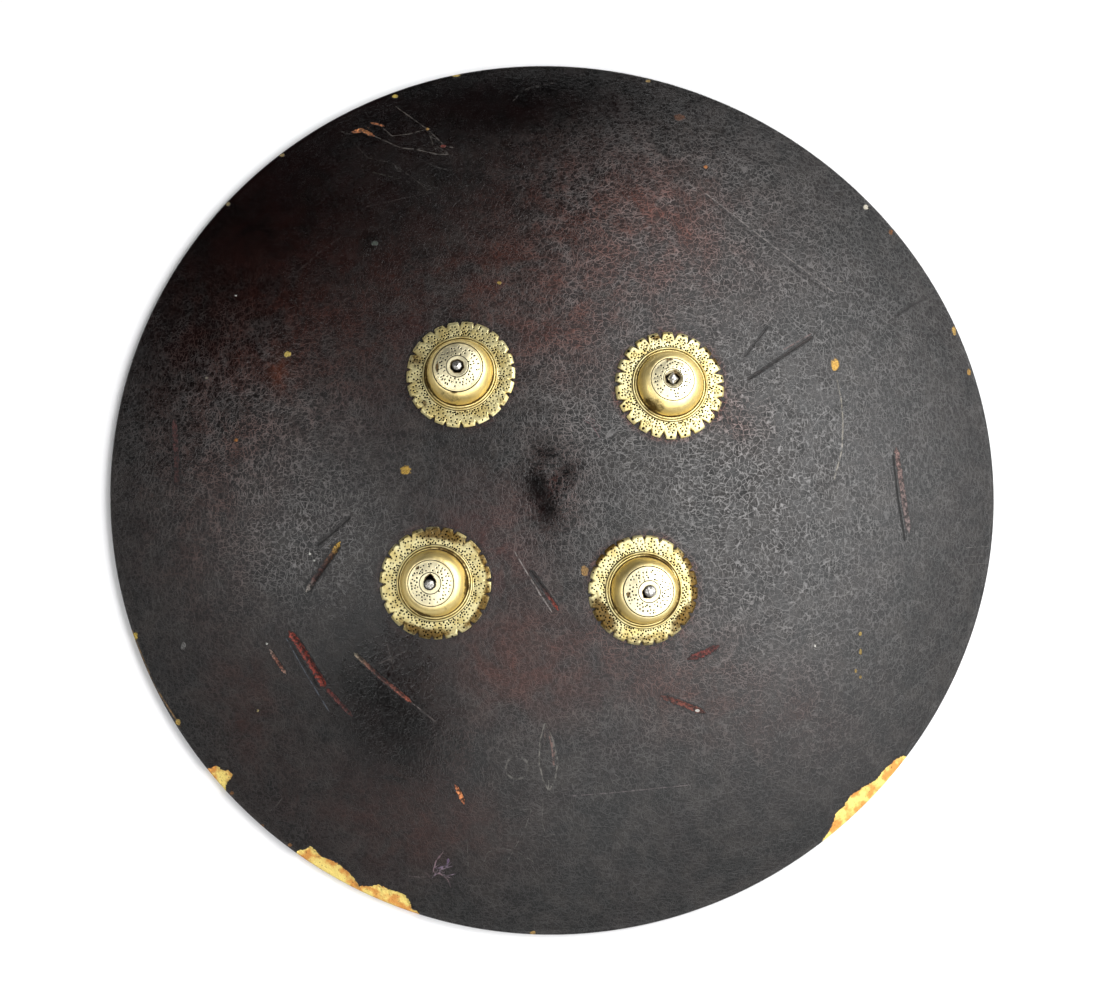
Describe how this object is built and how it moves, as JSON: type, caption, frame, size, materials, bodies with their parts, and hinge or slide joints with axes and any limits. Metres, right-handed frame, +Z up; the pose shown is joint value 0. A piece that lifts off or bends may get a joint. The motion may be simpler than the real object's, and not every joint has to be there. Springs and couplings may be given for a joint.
{
  "type": "hide shield",
  "caption": "Round domed hide shield with brass bosses held by iron rivets, lying face up on its rim.",
  "frame": {"origin": "under the middle of the shield, at the height of the surface that its rim rests on", "axes": "+Z up through the domed face, +X to the right and +Y to the top of the shield as the picture shows it"},
  "size_m": [0.4832, 0.4778, 0.0797],
  "materials": {
    "lacquered_hide": "black and brown lacquer over moulded rawhide, fine craquelure, worn satin",
    "old_brass": "rubbed bright with brown patina in the hollows",
    "worn_iron": "forged and rubbed, grey"
  },
  "bodies": {
    "root": {"hide_bowl": "lacquered_hide", "boss_top_left": "old_brass", "boss_top_right": "old_brass", "boss_bottom_left": "old_brass", "boss_bottom_right": "old_brass", "rivet_top_left": "worn_iron", "rivet_top_right": "worn_iron", "rivet_bottom_left": "worn_iron", "rivet_bottom_right": "worn_iron"}
  },
  "joints": []
}
